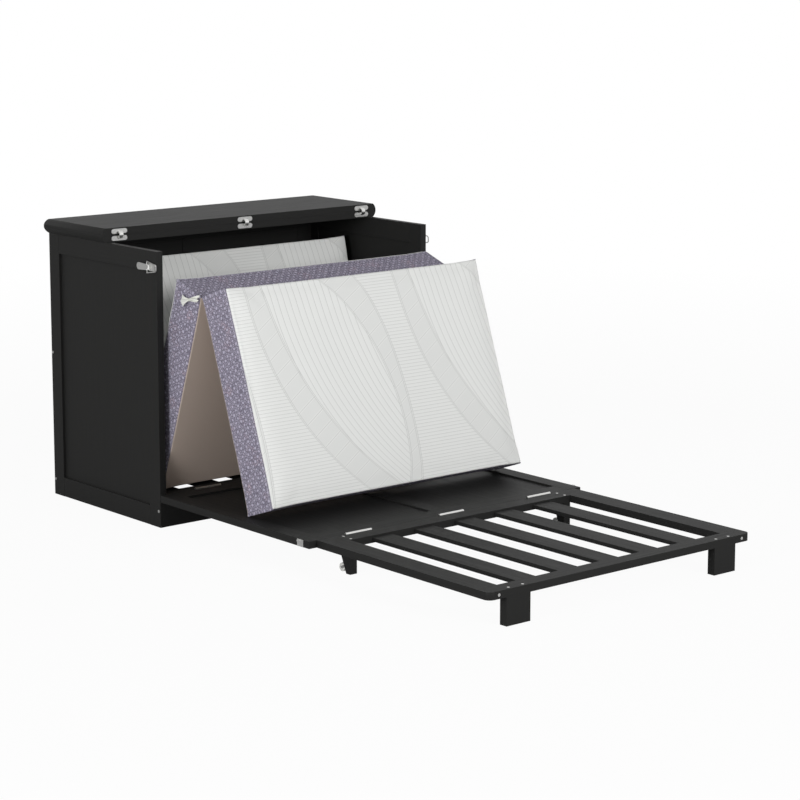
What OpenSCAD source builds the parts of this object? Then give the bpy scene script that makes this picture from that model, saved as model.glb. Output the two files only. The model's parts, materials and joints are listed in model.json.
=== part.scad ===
// Cabinet bed, shown half open: lid folded back, door and foot frame down,
// three-section mattress standing in folds.
// X runs across the cabinet, Y to its back, Z up. Origin: middle of the footprint, on the floor.

/* [Cabinet] */
// width over the two side frames
cab_w = 1066; // [1040:2:1100]
// depth of the side frames
cab_d = 604; // [600:2:640]
// height of the side frames
side_h = 853; // [850:1:880]
// thickness of a side frame
side_t = 22; // [20:1:26]
// thickness of the back frame
back_t = 18; // [16:1:22]
// width of an upright frame member
stile_w = 56; // [50:1:64]
// width of a crosswise frame member
rail_w = 62; // [54:1:70]
// thickness of a loose panel
panel_t = 8; // [6:1:8]
// depth of a panel under the outer face
recess = 8; // [7:1:9]

/* [Platform] */
// height of the sleeping platform
deck_z = 102; // [98:1:110]
// thickness of the front board under the platform
apron_t = 16; // [14:1:20]
// thickness of a cross rail that carries slats
rail_t = 22; // [20:1:26]
// number of slats in the cabinet
deck_slat_count = 7; // [5:1:7]
// width of a slat in the cabinet
deck_slat_w = 70; // [56:1:76]
// thickness of a slat
slat_t = 12; // [10:1:12]
// step from a rail's top down to its slats
slat_drop = 6; // [4:1:7]

/* [Lid] */
// thickness of a lid leaf
lid_t = 22; // [20:1:24]
// reach of a lid leaf from the fold to its far edge
lid_reach = 329; // [322:1:334]
// reach of the lid's underside past the side frames
lid_over = 1; // [0:1:6]
// further reach of the moulded edge
lid_mould = 11; // [8:1:12]

/* [Door] */
// play between the raised door and the lid
door_play = 11; // [8:1:17]
// thickness of the door leaf
door_t = 22; // [20:1:24]

/* [Foot frame] */
// how much shorter the foot frame is than the door
foot_short = 11; // [8:1:20]
// step in from the door's side to the foot frame's side
foot_inset = 28; // [24:1:36]
// width of a side rail
foot_side_w = 73; // [66:1:80]
// width of the rail at the door
foot_near_w = 58; // [52:1:64]
// width of the rail at the far end
foot_end_w = 50; // [46:1:58]
// number of slats in the foot frame
foot_slat_count = 5; // [4:1:6]
// width of a slat in the foot frame
foot_slat_w = 73; // [60:1:80]
// radius of the far corners
corner_r = 20; // [12:1:26]

/* [Legs] */
// width of an end leg
end_leg_w = 86; // [70:1:96]
// thickness of an end leg
end_leg_t = 26; // [22:1:30]
// step in from the foot frame's side to an end leg
end_leg_in = 63; // [50:1:76]
// width of a middle leg
mid_leg_w = 25; // [22:1:30]
// depth of a middle leg at its top
mid_leg_top = 54; // [48:1:58]
// depth of a middle leg at the floor
mid_leg_foot = 18; // [16:1:22]
// radius of a roller
roller_r = 12.5; // [11:0.5:13]

/* [Hinges] */
// length of a hinge barrel
barrel_len = 95; // [80:1:110]
// radius of a hinge barrel
barrel_r = 4.5; // [4:0.1:5]
// step in from the cabinet's side to the middle of an outer hinge
hinge_in = 179; // [160:1:200]
// height of a hinge leaf
hinge_leaf_h = 18; // [15:1:19]
// width of a lid hinge cup
cup_w = 58; // [50:1:64]
// step in from the cabinet's side to the middle of an outer lid hinge
lid_hinge_in = 50; // [46:1:80]

/* [Latches] */
// depth of the lever pin behind the cabinet's front
latch_y = 36; // [32:1:42]
// length of a lever
lever_len = 59; // [50:1:66]
// reach of a bail past the cabinet's front
bail_out = 5; // [4.8:0.1:7]

/* [Mattress] */
// height of the space left over an upright section
head_room = 79; // [77:1:91]
// play between the mattress and a side frame
side_play = 16; // [11:1:26]
// thickness of a section
sec_t = 135; // [120:1:138]
// lean of the front and middle sections
lean = 19.4; // [18:0.1:22]
// lean of the rear section
rear_lean = 16.5; // [14:0.1:18]
// space behind the top of the rear section
rear_play = 83.2; // [70:0.1:95]

/* [Hidden] */
$fn = 48;
soft_fn = 24;
over = 1;
touch = 0.2;
run_fit = 0.05;
leaf_gap = 0.6;
soft_gap = 0.3;

door_len = side_h - deck_z - door_play;
foot_len = door_len - foot_short;
overall = cab_d + lid_mould + door_len + foot_len + leaf_gap * 2;
front_y = overall / 2 - cab_d - lid_mould;

groove_d = 8;
inner_w = cab_w - side_t * 2;
side_x = cab_w / 2;
inner_x = inner_w / 2;

// platform inside the cabinet
rail_z = deck_z - rail_t;
deck_rail_w = 25;
rail_y = apron_t;
back_rail_y = cab_d - back_t - deck_rail_w;
mortise_d = 12;
slat_z = deck_z - slat_drop - slat_t;
cleat_t = 22;
cleat_z = rail_z - cleat_t;
slat_pitch = (inner_w - deck_slat_w - cleat_t * 2) / (deck_slat_count - 1);
bearer_w = 60;
bearer_y = (rail_y + back_rail_y) / 2;

// lid
lid_top = side_h + lid_t;
lid_gap = 0.4;
lid_axis_z = lid_top + lid_gap / 2;
fold_gap = 1.7;
fold_y = cab_d - lid_reach;
fold_axis_y = fold_y - fold_gap / 2;
lid_lip = 4;
edge_rise = lid_t - lid_lip;
edge_bulge = 2;
edge_chord = norm([lid_mould, edge_rise]);
edge_r = pow(edge_chord, 2) / 8 / edge_bulge + edge_bulge / 2;
edge_at = [lid_mould, edge_rise] / 2 - (edge_r - edge_bulge) * [edge_rise, -lid_mould] / edge_chord;

// lid hinges
lid_hinge_step = side_x - lid_hinge_in;
link_r = 11;
link_t = 3;
link_w = 14;
link_bite = 0.3;
cup_h = 15;
cup_d = 16;
cup_proud = 0.7;
link_swing = 180 + asin(link_bite / link_r) * 2;

// door and foot frame
door_y = -leaf_gap - door_len;
hinge_z = deck_z + leaf_gap / 2;
door_axis_y = -leaf_gap / 2;
foot_axis_y = door_y - leaf_gap / 2;
foot_y = door_y - leaf_gap;
foot_end_y = foot_y - foot_len;
foot_x = side_x - foot_inset;
foot_inner_x = foot_x - foot_side_w;
foot_gap = (foot_inner_x * 2 - foot_slat_w * foot_slat_count) / (foot_slat_count + 1);
door_z = deck_z - door_t;

// barrel hinges
hinge_step = side_x - hinge_in;
hinge_plate_t = 1.5;
plate_gap = 0.2;
pin_r = 2.5;
knuckles = 5;
knuckle_gap = 0.2;
knuckle_pitch = barrel_len / knuckles;
groove_clear = 0.5;

// legs and rollers
end_leg_x = foot_x - end_leg_in - end_leg_w / 2;
mid_leg_x = foot_inner_x - mid_leg_w / 2;
mid_leg_in = 5;
mid_leg_y = foot_y - mid_leg_in;
roller_w = 8;
axle_r = 2;
cheek_t = 2;
cheek_x = roller_w / 2 + touch;
roller_back_share = 0.55;
roller_y = mid_leg_y - roller_r * roller_back_share;
leg_slope = atan((mid_leg_top - mid_leg_foot) / rail_z);

// bolts and screws
bolt_head_r = 4.5;
bolt_head_h = 1.6;
bolt_r = 3;
bolt_len = 52;
bolt_in = 8;
bolt_low_z = 51;
bolt_high_z = 467;
screw_head_r = 4;
screw_head_h = 2.5;
screw_r = 2;
screw_len = 45;
screw_step = 34;
end_screw_step = 51;

// latches
latch_drop = 40;
latch_z = hinge_z - door_y - latch_drop;
latch_pin_x = 5;
latch_pin_r = 1.5;
latch_plate_t = 1.5;
latch_plate_out = 28;
latch_plate_back = 5;
latch_plate_z = 11;
lever_knuckle_r = 3;
lever_knuckle_z = 4;
lever_t = 2;
lever_r = 11;
ear_t = 2;
ear_y = 3.5;
lever_neck = ear_y + touch * 2;
bail_step = 8;
loop_r = 1.25;
bail_pin_r = 1.1;
bail_half = 17.5;
bail_tip = 10.5;
bail_bend = 4;
bail_rise = 1.5;
bail_len = latch_y + bail_step + bail_out;
bail_turn = asin(bail_rise / bail_len);
bail_points = [[0, bail_half], [bail_bend - bail_len, bail_tip], [-bail_len, bail_tip - bail_bend]];
lug_z = 9;
strike_y = door_axis_y - (latch_z - hinge_z);
strike_z = deck_z - door_t / 2;
strike_half = 14;
strike_up = door_t / 2 - leaf_gap;
hook_half = 5.5;
hook_t = 1.8;
hook_z = hinge_z - door_axis_y - bail_out + loop_r + touch;
hook_x = latch_pin_x + bail_rise + loop_r + touch;

// mattress
sec_len = side_h - deck_z - head_room;
sec_w = inner_w - side_play * 2;
fold_out = sec_len * (sin(lean) + sin(rear_lean)) + sec_t * (cos(lean) + cos(rear_lean))
    - (cab_d - back_t - rear_play);
seam_in = 4;
soft_z = deck_z + soft_gap - seam_in * cos(lean);
apex = [-fold_out, soft_z + sec_len * cos(lean)];
front_foot = apex + [-sec_len * sin(lean), -sec_len * cos(lean)];
middle_foot = apex + [sec_len * sin(lean), -sec_len * cos(lean)];
rear_hinge = middle_foot + sec_t * [cos(lean), sin(lean)];
rear_foot = rear_hinge + sec_t * [cos(rear_lean), -sin(rear_lean)];
base_t = 3;
top_t = 12;
crown = 6;
crown_in = 170;
sec_r = 14;
seam_band = 12;
seam_r = seam_in - soft_gap;
tag_t = 0.8;
tag_reach = 83;
tag_shares = [[0.01, 0.08], [0.26, 0.45], [0.4, 0.76], [0.57, 1], [0.79, 0.76], [0.47, 0.5],
    [0.35, 0.38], [0.25, 0.07]];

// a box between two corners, measured from the cabinet's front at floor level
module block(low, high) {
    translate(low + [0, front_y, 0])
        cube(high - low);
}

// moves a shape from the cabinet's front line into the shared frame
module placed(at = [0, 0, 0]) {
    translate(at + [0, front_y, 0])
        children();
}

module both_sides() {
    children();
    mirror([1, 0, 0])
        children();
}

// a rod along X through the origin, centred
module rod_x(r, length) {
    rotate([0, 90, 0])
        cylinder(r = r, h = length, center = true);
}

// frame and panel work, drawn flat with the outer face down

module panel_space(w, h, n, play) {
    bay = (w - stile_w * (n + 1)) / n;
    for (i = [0:n - 1])
        translate([stile_w - groove_d + play + i * (bay + stile_w),
            rail_w - groove_d + play, recess + play / 2])
            cube([bay + groove_d * 2 - play * 2, h - (rail_w - groove_d + play) * 2, panel_t - play]);
}

module frame_stiles(w, h, t, n) {
    difference() {
        for (x = [0, w - stile_w])
            translate([x, 0, 0])
                cube([stile_w, h, t]);
        panel_space(w, h, n, 0);
    }
}

module frame_rails(w, h, t, n) {
    difference() {
        for (y = [0, h - rail_w])
            translate([stile_w, y, 0])
                cube([w - stile_w * 2, rail_w, t]);
        panel_space(w, h, n, 0);
    }
}

module frame_mid_stile(w, h, t, n) {
    difference() {
        translate([(w - stile_w) / 2, rail_w, 0])
            cube([stile_w, h - rail_w * 2, t]);
        panel_space(w, h, n, 0);
    }
}

// stands a flat frame up as the left side
module as_left_side() {
    placed([-side_x, 0, 0])
        rotate([90, 0, 90])
            children();
}

// stands a flat frame up as the back
module as_back() {
    placed([-inner_x, cab_d, 0])
        rotate([90, 0, 0])
            children();
}

// lays a flat frame down as the door, its show face to the floor
module as_door() {
    placed([-side_x, door_y, door_z])
        children();
}

// Cabinet

module side_bolt_places() {
    for (p = [[bolt_in, bolt_low_z], [cab_d - bolt_in, bolt_low_z], [cab_d - bolt_in, bolt_high_z]])
        both_sides()
            placed([-side_x, p.x, p.y])
                rotate([0, 90, 0])
                    children();
}

module bolt(head_h, length, head_r, r) {
    translate([0, 0, -head_h])
        cylinder(r = head_r, h = head_h);
    cylinder(r = r, h = length);
}

module side_bolts() {
    color("Silver")
        side_bolt_places()
            bolt(bolt_head_h, bolt_len, bolt_head_r, bolt_r);
}

module bolt_holes() {
    side_bolt_places()
        translate([0, 0, -over])
            cylinder(r = bolt_r + run_fit, h = bolt_len + over + touch);
}

module left_side_stiles() {
    color("DimGray")
        difference() {
            as_left_side()
                frame_stiles(cab_d, side_h, side_t, 1);
            bolt_holes();
        }
}

module left_side_rails() {
    color("DimGray")
        as_left_side()
            frame_rails(cab_d, side_h, side_t, 1);
}

module left_side_panel() {
    color("Gray")
        as_left_side()
            panel_space(cab_d, side_h, 1, touch);
}

module right_side_stiles() {
    mirror([1, 0, 0])
        left_side_stiles();
}

module right_side_rails() {
    mirror([1, 0, 0])
        left_side_rails();
}

module right_side_panel() {
    mirror([1, 0, 0])
        left_side_panel();
}

module back_stiles() {
    color("DimGray")
        difference() {
            as_back() {
                frame_stiles(inner_w, side_h, back_t, 2);
                frame_mid_stile(inner_w, side_h, back_t, 2);
            }
            bolt_holes();
        }
}

module back_rails() {
    color("DimGray")
        as_back()
            frame_rails(inner_w, side_h, back_t, 2);
}

module back_panels() {
    color("Gray")
        as_back()
            panel_space(inner_w, side_h, 2, touch);
}

module base_apron() {
    color("DimGray")
        difference() {
            block([-inner_x, 0, 0], [inner_x, apron_t, deck_z]);
            door_hinge_places()
                hinge_space();
            bolt_holes();
        }
}

module deck_cleats() {
    color("DimGray")
        both_sides()
            block([-inner_x, apron_t, cleat_z], [-inner_x + cleat_t, cab_d - back_t, rail_z]);
}

module deck_slat_blocks(play) {
    for (i = [0:deck_slat_count - 1])
        let (x = (i - (deck_slat_count - 1) / 2) * slat_pitch)
            block([x - deck_slat_w / 2 - play, rail_y + deck_rail_w - mortise_d - play, slat_z - play],
                [x + deck_slat_w / 2 + play, back_rail_y + mortise_d + play, slat_z + slat_t + play]);
}

module deck_rails() {
    color("DimGray")
        difference() {
            for (y = [rail_y, back_rail_y])
                block([-inner_x, y, rail_z], [inner_x, y + deck_rail_w, deck_z]);
            deck_slat_blocks(touch);
        }
}

module deck_bearer() {
    color("DimGray")
        block([-inner_x + cleat_t, bearer_y, cleat_z],
            [inner_x - cleat_t, bearer_y + bearer_w, slat_z]);
}

module deck_slats() {
    color("DimGray")
        deck_slat_blocks(0);
}

// Lid: two alike leaves with a moulded edge on three sides

// half outline of the moulded edge, from the underside up to the show face
module edge_profile(half) {
    union() {
        square([half - over, lid_t]);
        translate([half - over * 2, edge_rise])
            square([lid_mould + over * 2, lid_lip]);
        intersection() {
            translate([half - over * 2, 0])
                square([lid_mould + over * 3, edge_rise]);
            translate([half, 0] + edge_at)
                circle(r = edge_r);
        }
    }
}

module lid_leaf() {
    half = side_x + lid_over;
    difference() {
        intersection() {
            placed([0, fold_y, side_h])
                rotate([90, 0, 180])
                    linear_extrude(lid_reach + lid_mould)
                        both_sides()
                            edge_profile(half);
            placed([-half - lid_mould, fold_y, side_h])
                rotate([90, 0, 90])
                    linear_extrude((half + lid_mould) * 2)
                        edge_profile(lid_reach);
        }
        lid_hinge_places()
            cup(touch);
    }
}

// turns a rear-leaf shape into the front leaf lying on top of it
module folded_over() {
    translate([0, 0, lid_axis_z - touch])
        mirror([0, 0, 1])
            translate([0, 0, -lid_axis_z])
                children();
}

module lid_hinge_places() {
    for (x = [-lid_hinge_step, 0, lid_hinge_step])
        placed([x, fold_axis_y, lid_axis_z])
            children();
}

// a round-ended cup let into the fold edge, its face a little proud
module cup(play) {
    deep = cup_d + (play > 0 ? fold_gap : 0);
    translate([0, fold_gap / 2 - cup_proud - (play > 0 ? fold_gap : 0), -link_r])
        rotate([-90, 0, 0])
            linear_extrude(deep + play)
                union() {
                    square([cup_w - cup_h, cup_h + play * 2], center = true);
                    for (s = [-1, 1])
                        translate([s * (cup_w - cup_h) / 2, 0])
                            circle(d = cup_h + play * 2);
                }
}

// the round way in which a half-ring link slides
module link_way() {
    rotate([0, 90, 0])
        difference() {
            cylinder(r = link_r + link_t / 2 + run_fit, h = link_w + touch * 2, center = true);
            cylinder(r = link_r - link_t / 2 - run_fit, h = link_w + over, center = true);
        }
}

module link_ways() {
    lid_hinge_places()
        link_way();
}

module lid_rear_leaf() {
    color("SlateGray")
        difference() {
            lid_leaf();
            link_ways();
        }
}

module lid_front_leaf() {
    color("SlateGray")
        difference() {
            folded_over()
                lid_leaf();
            link_ways();
        }
}

module lid_rear_cups() {
    color("Silver")
        difference() {
            lid_hinge_places()
                cup(0);
            link_ways();
        }
}

module lid_front_cups() {
    color("Silver")
        difference() {
            folded_over()
                lid_hinge_places()
                    cup(0);
            link_ways();
        }
}

module lid_links() {
    color("Silver")
        lid_hinge_places()
            translate([-link_w / 2, 0, 0])
                rotate([90, 0, 90])
                    rotate([0, 0, 180 - link_swing / 2])
                        rotate_extrude(angle = link_swing)
                            translate([link_r - link_t / 2, 0])
                                square([link_t, link_w]);
}

// Latches on the cabinet's sides

module latch_places() {
    placed([side_x, latch_y, latch_z])
        children();
}

module latch_base() {
    translate([0, -latch_plate_out, -latch_plate_z])
        cube([latch_plate_t, latch_plate_out + latch_plate_back, latch_plate_z * 2]);
    for (z = [-lever_knuckle_z - touch - ear_t, lever_knuckle_z + touch])
        translate([0, 0, z]) {
            translate([0, -ear_y, 0])
                cube([latch_pin_x, ear_y * 2, ear_t]);
            translate([latch_pin_x, 0, 0])
                cylinder(r = ear_y, h = ear_t);
        }
    translate([latch_pin_x, 0, 0])
        cylinder(r = latch_pin_r, h = (lever_knuckle_z + touch + ear_t) * 2, center = true);
}

module latch_bases() {
    color("Silver")
        both_sides()
            latch_places()
                latch_base();
}

module latch_lever() {
    difference() {
        union() {
            translate([latch_pin_x, 0, 0])
                cylinder(r = lever_knuckle_r, h = lever_knuckle_z * 2, center = true);
            translate([latch_pin_x, bail_step, 0])
                cylinder(r = lever_knuckle_r, h = lug_z * 2, center = true);
            translate([latch_pin_x + lever_knuckle_r - lever_t, 0, 0])
                rotate([90, 0, 90])
                    linear_extrude(lever_t)
                        union() {
                            translate([lever_len - lever_r, 0])
                                circle(r = lever_r);
                            polygon([[0, -lever_knuckle_z], [lever_neck, -lever_knuckle_z],
                                [bail_step, -lug_z], [lever_len - lever_r, -lever_r],
                                [lever_len - lever_r, lever_r], [bail_step, lug_z],
                                [lever_neck, lever_knuckle_z], [0, lever_knuckle_z]]);
                        }
        }
        translate([latch_pin_x, 0, 0])
            cylinder(r = latch_pin_r + run_fit, h = lever_len, center = true);
        translate([latch_pin_x, bail_step, 0])
            cylinder(r = bail_pin_r + run_fit, h = lever_len, center = true);
    }
}

// one side of a bail's flat loop, from its knee at the lever to the bend at its tip
module bail_side() {
    for (at = bail_points)
        translate(at)
            circle(r = loop_r);
    for (i = [1:len(bail_points) - 1])
        let (run = bail_points[i] - bail_points[i - 1])
            translate(bail_points[i - 1])
                rotate(atan2(run.y, run.x))
                    translate([0, -loop_r])
                        square([norm(run), loop_r * 2]);
}

module latch_bail() {
    translate([latch_pin_x, bail_step, 0])
        rotate([0, 0, bail_turn]) {
            cylinder(r = bail_pin_r, h = bail_half * 2, center = true);
            translate([-loop_r, 0, 0])
                rotate([90, 0, 90])
                    linear_extrude(loop_r * 2)
                        union() {
                            bail_side();
                            mirror([0, 1, 0])
                                bail_side();
                            translate([-bail_len - loop_r, bail_bend - bail_tip])
                                square([loop_r * 2, (bail_tip - bail_bend) * 2]);
                        }
        }
}

module latch_lever_right() {
    color("Silver")
        latch_places()
            latch_lever();
}

module latch_lever_left() {
    mirror([1, 0, 0])
        latch_lever_right();
}

module latch_bail_right() {
    color("Silver")
        latch_places()
            latch_bail();
}

module latch_bail_left() {
    mirror([1, 0, 0])
        latch_bail_right();
}

// Barrel hinges between cabinet and door, and between door and foot frame

module door_hinge_places() {
    for (x = [-hinge_step, 0, hinge_step])
        placed([x, door_axis_y, hinge_z])
            children();
}

module foot_hinge_places() {
    for (x = [-hinge_step, 0, hinge_step])
        placed([x, foot_axis_y, hinge_z])
            children();
}

// one half of a hinge: leaf against the +Y edge, knuckles from the first, or from the second
module hinge_half(first) {
    difference() {
        union() {
            translate([-barrel_len / 2, plate_gap / 2, -hinge_leaf_h])
                cube([barrel_len, hinge_plate_t, hinge_leaf_h - barrel_r - groove_clear]);
            for (i = [first:2:knuckles - 1])
                translate([(i - (knuckles - 1) / 2) * knuckle_pitch, 0, 0]) {
                    rod_x(barrel_r, knuckle_pitch - knuckle_gap);
                    translate([-(knuckle_pitch - knuckle_gap) / 2, plate_gap / 2, -hinge_leaf_h])
                        cube([knuckle_pitch - knuckle_gap, hinge_plate_t, hinge_leaf_h]);
                }
        }
        rod_x(pin_r + run_fit, barrel_len + over);
    }
}

// room for a hinge in the two edges that it joins
module hinge_space() {
    rod_x(barrel_r + groove_clear, barrel_len + touch * 2);
    translate([-barrel_len / 2 - touch, -hinge_plate_t - plate_gap / 2, -hinge_leaf_h - touch])
        cube([barrel_len + touch * 2, hinge_plate_t * 2 + plate_gap, hinge_leaf_h + touch]);
}

module door_hinge_fixed() {
    color("Silver")
        door_hinge_places()
            hinge_half(0);
}

module door_hinge_moving() {
    color("Silver")
        door_hinge_places()
            mirror([0, 1, 0])
                hinge_half(1);
}

module door_hinge_pins() {
    color("Silver")
        door_hinge_places()
            rod_x(pin_r, barrel_len);
}

module foot_hinge_fixed() {
    color("Silver")
        foot_hinge_places()
            hinge_half(0);
}

module foot_hinge_moving() {
    color("Silver")
        foot_hinge_places()
            mirror([0, 1, 0])
                hinge_half(1);
}

module foot_hinge_pins() {
    color("Silver")
        foot_hinge_places()
            rod_x(pin_r, barrel_len);
}

// Door

module door_stiles() {
    color("DimGray")
        as_door()
            frame_stiles(cab_w, door_len, door_t, 2);
}

module door_rails() {
    color("DimGray")
        difference() {
            as_door()
                frame_rails(cab_w, door_len, door_t, 2);
            door_hinge_places()
                hinge_space();
            foot_hinge_places()
                hinge_space();
        }
}

module door_mid_stile() {
    color("DimGray")
        as_door()
            frame_mid_stile(cab_w, door_len, door_t, 2);
}

module door_panels() {
    color("Gray")
        as_door()
            panel_space(cab_w, door_len, 2, touch);
}

module door_strikes() {
    color("Silver")
        both_sides()
            placed([side_x, strike_y, 0]) {
                translate([0, -strike_half, strike_z - strike_up])
                    cube([latch_plate_t, strike_half * 2, strike_up * 2]);
                translate([0, -hook_half, hook_z])
                    cube([hook_x + hook_t, hook_half * 2, hook_t]);
                translate([hook_x, -hook_half, hook_z - loop_r * 2])
                    cube([hook_t, hook_half * 2, loop_r * 2 + hook_t]);
            }
}

// Foot frame

module foot_slat_blocks(play) {
    for (i = [0:foot_slat_count - 1])
        let (x = -foot_inner_x + foot_gap + i * (foot_slat_w + foot_gap))
            block([x - play, foot_end_y + foot_end_w - mortise_d - play, slat_z - play],
                [x + foot_slat_w + play, foot_y - foot_near_w + mortise_d + play, slat_z + slat_t + play]);
}

module foot_side_rails() {
    color("DimGray")
        difference() {
            both_sides()
                block([-foot_x, foot_end_y + foot_end_w, rail_z], [-foot_inner_x, foot_y, deck_z]);
            end_bolt_places()
                translate([0, 0, -over])
                    cylinder(r = bolt_r + run_fit, h = foot_end_w + bolt_len + over);
        }
}

module foot_near_rail() {
    color("DimGray")
        difference() {
            block([-foot_inner_x, foot_y - foot_near_w, rail_z], [foot_inner_x, foot_y, deck_z]);
            foot_hinge_places()
                hinge_space();
            foot_slat_blocks(touch);
            leg_screw_places()
                screw_hole();
        }
}

module foot_end_rail() {
    color("DimGray")
        difference() {
            placed([0, foot_end_y, rail_z])
                linear_extrude(rail_t)
                    union() {
                        translate([-foot_x + corner_r, 0])
                            square([(foot_x - corner_r) * 2, foot_end_w]);
                        translate([-foot_x, corner_r])
                            square([foot_x * 2, foot_end_w - corner_r]);
                        for (s = [-1, 1])
                            translate([s * (foot_x - corner_r), corner_r])
                                circle(r = corner_r);
                    }
            foot_slat_blocks(touch);
            leg_screw_places()
                screw_hole();
            end_bolt_places() {
                translate([0, 0, -over])
                    cylinder(r = bolt_r + run_fit, h = foot_end_w + bolt_len + over);
                translate([0, 0, -over])
                    cylinder(r = bolt_head_r + touch, h = bolt_head_h + over);
            }
        }
}

module foot_slats() {
    color("DimGray")
        foot_slat_blocks(0);
}

module end_bolt_places() {
    both_sides()
        placed([-foot_x + foot_side_w / 2, foot_end_y, rail_z + rail_t / 2])
            rotate([-90, 0, 0])
                children();
}

module end_bolts() {
    color("Silver")
        end_bolt_places()
            translate([0, 0, bolt_head_h])
                bolt(bolt_head_h, foot_end_w + bolt_len - bolt_head_h - touch, bolt_head_r, bolt_r);
}

// Legs

module leg_screw_places() {
    for (s = [-1, 1]) {
        for (d = [-end_screw_step / 2, end_screw_step / 2])
            placed([s * end_leg_x + d, foot_end_y + end_leg_t / 2, deck_z])
                children();
        for (d = [0, screw_step])
            placed([s * mid_leg_x, mid_leg_y - bolt_in - d, deck_z])
                children();
    }
}

// a countersunk screw pointing down, its head at the top
module screw(wide, deep) {
    translate([0, 0, -screw_head_h])
        cylinder(r1 = screw_r + wide, r2 = screw_head_r + wide, h = screw_head_h);
    translate([0, 0, -screw_len - deep])
        cylinder(r = screw_r + wide, h = screw_len + deep - screw_head_h / 2);
}

module screw_hole() {
    screw(run_fit, touch);
    translate([0, 0, -touch / 2])
        cylinder(r = screw_head_r + run_fit, h = over);
}

module leg_screws() {
    color("Silver")
        leg_screw_places()
            screw(0, 0);
}

module end_legs() {
    color("DimGray")
        difference() {
            both_sides()
                block([end_leg_x - end_leg_w / 2, foot_end_y, 0],
                    [end_leg_x + end_leg_w / 2, foot_end_y + end_leg_t, rail_z]);
            leg_screw_places()
                screw_hole();
        }
}

module mid_legs() {
    color("DimGray")
        difference() {
            both_sides()
                placed([mid_leg_x - mid_leg_w / 2, mid_leg_y, 0])
                    rotate([90, 0, 90])
                        linear_extrude(mid_leg_w)
                            polygon([[-mid_leg_top, 0], [mid_leg_foot - mid_leg_top, 0],
                                [0, rail_z], [-mid_leg_top, rail_z]]);
            leg_screw_places()
                screw_hole();
        }
}

module roller_places() {
    placed([mid_leg_x, roller_y, roller_r])
        children();
}

// a steel fork on the slanted back of a middle leg
module roller_brackets() {
    color("Silver")
        both_sides() {
            difference() {
                for (s = [-1, 1])
                    roller_places()
                        translate([s * (cheek_x + cheek_t / 2), 0, 0]) {
                            rod_x(axle_r * 2, cheek_t);
                            rotate([-leg_slope, 0, 0])
                                translate([-cheek_t / 2, -roller_r * 2, -axle_r * 2])
                                    cube([cheek_t, roller_r * 2, axle_r * 4]);
                        }
                leg_shadow();
            }
            roller_places()
                rod_x(axle_r, (cheek_x + cheek_t) * 2);
        }
}

// all that lies on the leg's side of its slanted back
module leg_shadow() {
    placed([mid_leg_x - mid_leg_w, mid_leg_y, 0])
        rotate([90, 0, 90])
            linear_extrude(mid_leg_w * 2)
                polygon([[-mid_leg_top * 2, -over], [mid_leg_foot - mid_leg_top, 0],
                    [0, rail_z], [-mid_leg_top * 2, rail_z]]);
}

module roller_right() {
    color("WhiteSmoke")
        roller_places()
            difference() {
                rod_x(roller_r, roller_w);
                rod_x(axle_r + run_fit, roller_w + over);
            }
}

module roller_left() {
    mirror([1, 0, 0])
        roller_right();
}

// Mattress: three alike sections, each a base cloth, a bordered core and a quilted top

module slab(inset, z) {
    for (x = [-1, 1])
        for (y = [sec_r, sec_len - sec_r])
            translate([x * (sec_w / 2 - sec_r), y, z])
                cylinder(r = sec_r - inset, h = soft_gap / 2, $fn = soft_fn);
}

module section_base() {
    linear_extrude(base_t - soft_gap / 2)
        union() {
            translate([-sec_w / 2 + sec_r, seam_in])
                square([sec_w - sec_r * 2, sec_len - seam_in * 2]);
            translate([-sec_w / 2 + seam_in, sec_r])
                square([sec_w - seam_in * 2, sec_len - sec_r * 2]);
            for (x = [-1, 1])
                for (y = [sec_r, sec_len - sec_r])
                    translate([x * (sec_w / 2 - sec_r), y])
                        circle(r = sec_r - seam_in);
        }
}

module section_core() {
    hull() {
        slab(seam_in, base_t);
        slab(0, base_t + seam_band);
        slab(0, sec_t - top_t - seam_band);
        slab(seam_in, sec_t - top_t - soft_gap);
    }
}

module section_top() {
    hull() {
        slab(seam_in, sec_t - top_t);
        slab(seam_in - soft_gap, sec_t - top_t / 2);
        slab(seam_in, sec_t - soft_gap);
        for (x = [-1, 1])
            for (y = [crown_in, sec_len - crown_in])
                translate([x * (sec_w / 2 - crown_in), y, sec_t - crown])
                    cylinder(r = crown_in / 2, h = crown * 2, $fn = soft_fn);
    }
}

module as_rear() {
    placed([0, rear_foot.x, rear_foot.y])
        rotate([90 - rear_lean, 0, 0])
            children();
}

module as_middle() {
    placed([0, apex.x, apex.y])
        rotate([lean - 90, 0, 0])
            children();
}

module as_front() {
    placed([0, front_foot.x, front_foot.y])
        rotate([90 - lean, 0, 0])
            children();
}

module mattress_rear_base() {
    color("Tan")
        as_rear()
            section_base();
}

module mattress_rear_core() {
    color("Plum")
        as_rear()
            section_core();
}

module mattress_rear_top() {
    color("WhiteSmoke")
        as_rear()
            section_top();
}

module mattress_middle_base() {
    color("Tan")
        as_middle()
            section_base();
}

module mattress_middle_core() {
    color("Plum")
        as_middle()
            section_core();
}

module mattress_middle_top() {
    color("WhiteSmoke")
        as_middle()
            section_top();
}

module mattress_front_base() {
    color("Tan")
        as_front()
            section_base();
}

module mattress_front_core() {
    color("Plum")
        as_front()
            section_core();
}

module mattress_front_top() {
    color("WhiteSmoke")
        as_front()
            section_top();
}

// the rolled seams on which the sections fold, one below the apex and one low at the back
module mattress_fold_seams() {
    color("Plum")
        for (at = [apex, rear_hinge])
            placed([0, at.x, at.y])
                rod_x(seam_r, sec_w - sec_r * 2);
}

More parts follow.
